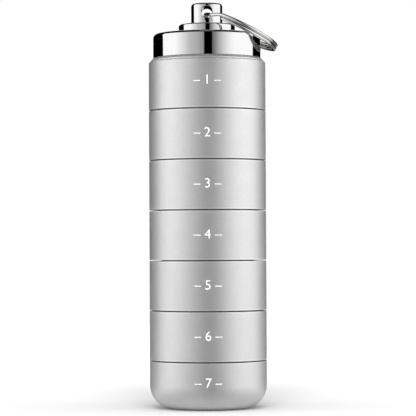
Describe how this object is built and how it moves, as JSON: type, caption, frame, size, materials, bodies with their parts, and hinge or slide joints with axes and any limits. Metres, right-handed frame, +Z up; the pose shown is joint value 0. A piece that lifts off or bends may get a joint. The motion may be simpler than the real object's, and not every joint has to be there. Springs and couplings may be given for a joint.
{
  "type": "stackable pill organizer",
  "caption": "Cylindrical pill organizer of stacked metal cups that screw into one another, closed by a threaded lid with a swivel post and a split key ring.",
  "frame": {"origin": "middle of the flat base that the stack stands on", "axes": "+Z up the stack to the swivel post; -Y is the front, where the day numbers are; at rest the key ring lies towards +X"},
  "size_m": [0.0326, 0.03, 0.1039],
  "materials": {
    "satin_aluminium": "bead-blasted and clear anodised, satin",
    "silicone": "translucent moulded silicone, satin",
    "polished_chrome": "mirror polished",
    "black_rubber": "moulded, matt",
    "bright_steel": "bright zinc-plated",
    "ring_steel": "nickel-plated spring wire"
  },
  "bodies": {
    "base_cup": {"cup_day_7": "satin_aluminium"},
    "seal_7": {"seal_day_7": "silicone"},
    "cup_6": {"cup_day_6": "satin_aluminium"},
    "seal_6": {"seal_day_6": "silicone"},
    "cup_5": {"cup_day_5": "satin_aluminium"},
    "seal_5": {"seal_day_5": "silicone"},
    "cup_4": {"cup_day_4": "satin_aluminium"},
    "seal_4": {"seal_day_4": "silicone"},
    "cup_3": {"cup_day_3": "satin_aluminium"},
    "seal_3": {"seal_day_3": "silicone"},
    "cup_2": {"cup_day_2": "satin_aluminium"},
    "seal_2": {"seal_day_2": "silicone"},
    "cup_1": {"cup_day_1": "satin_aluminium"},
    "seal_1": {"seal_day_1": "silicone"},
    "lid": {"lid": "polished_chrome", "shank_seal": "black_rubber"},
    "post": {"swivel_post": "polished_chrome", "retaining_washer": "bright_steel", "post_screw": "bright_steel"},
    "ring": {"split_ring": "ring_steel"}
  },
  "joints": [
    {"name": "cup_6_lift", "type": "slide", "parent": "base_cup", "child": "seal_7", "axis": [0, 0, 1], "range_m": [0, 0.004]},
    {"name": "cup_6_turn", "type": "hinge", "parent": "seal_7", "child": "cup_6", "pos_m": [0, 0, 0.01246], "axis": [0, 0, 1], "range_deg": [0, 720]},
    {"name": "cup_5_lift", "type": "slide", "parent": "cup_6", "child": "seal_6", "axis": [0, 0, 1], "range_m": [0, 0.004]},
    {"name": "cup_5_turn", "type": "hinge", "parent": "seal_6", "child": "cup_5", "pos_m": [0, 0, 0.02525], "axis": [0, 0, 1], "range_deg": [0, 720]},
    {"name": "cup_4_lift", "type": "slide", "parent": "cup_5", "child": "seal_5", "axis": [0, 0, 1], "range_m": [0, 0.004]},
    {"name": "cup_4_turn", "type": "hinge", "parent": "seal_5", "child": "cup_4", "pos_m": [0, 0, 0.03803], "axis": [0, 0, 1], "range_deg": [0, 720]},
    {"name": "cup_3_lift", "type": "slide", "parent": "cup_4", "child": "seal_4", "axis": [0, 0, 1], "range_m": [0, 0.004]},
    {"name": "cup_3_turn", "type": "hinge", "parent": "seal_4", "child": "cup_3", "pos_m": [0, 0, 0.05081], "axis": [0, 0, 1], "range_deg": [0, 720]},
    {"name": "cup_2_lift", "type": "slide", "parent": "cup_3", "child": "seal_3", "axis": [0, 0, 1], "range_m": [0, 0.004]},
    {"name": "cup_2_turn", "type": "hinge", "parent": "seal_3", "child": "cup_2", "pos_m": [0, 0, 0.0636], "axis": [0, 0, 1], "range_deg": [0, 720]},
    {"name": "cup_1_lift", "type": "slide", "parent": "cup_2", "child": "seal_2", "axis": [0, 0, 1], "range_m": [0, 0.004]},
    {"name": "cup_1_turn", "type": "hinge", "parent": "seal_2", "child": "cup_1", "pos_m": [0, 0, 0.07638], "axis": [0, 0, 1], "range_deg": [0, 720]},
    {"name": "lid_lift", "type": "slide", "parent": "cup_1", "child": "seal_1", "axis": [0, 0, 1], "range_m": [0, 0.004]},
    {"name": "lid_turn", "type": "hinge", "parent": "seal_1", "child": "lid", "pos_m": [0, 0, 0.09005], "axis": [0, 0, 1], "range_deg": [0, 720]},
    {"name": "post_swivel", "type": "hinge", "parent": "lid", "child": "post", "pos_m": [0, 0, 0.0966], "axis": [0, 0, 1], "continuous": true},
    {"name": "ring_swing", "type": "hinge", "parent": "post", "child": "ring", "pos_m": [0, 0, 0.10131], "axis": [0, -1, 0], "range_deg": [0, 226]}
  ],
  "couplings": [
    {"joint": "cup_6_lift", "follows": "cup_6_turn", "m_per_rad": 0.00031831},
    {"joint": "cup_5_lift", "follows": "cup_5_turn", "m_per_rad": 0.00031831},
    {"joint": "cup_4_lift", "follows": "cup_4_turn", "m_per_rad": 0.00031831},
    {"joint": "cup_3_lift", "follows": "cup_3_turn", "m_per_rad": 0.00031831},
    {"joint": "cup_2_lift", "follows": "cup_2_turn", "m_per_rad": 0.00031831},
    {"joint": "cup_1_lift", "follows": "cup_1_turn", "m_per_rad": 0.00031831},
    {"joint": "lid_lift", "follows": "lid_turn", "m_per_rad": 0.00031831}
  ]
}
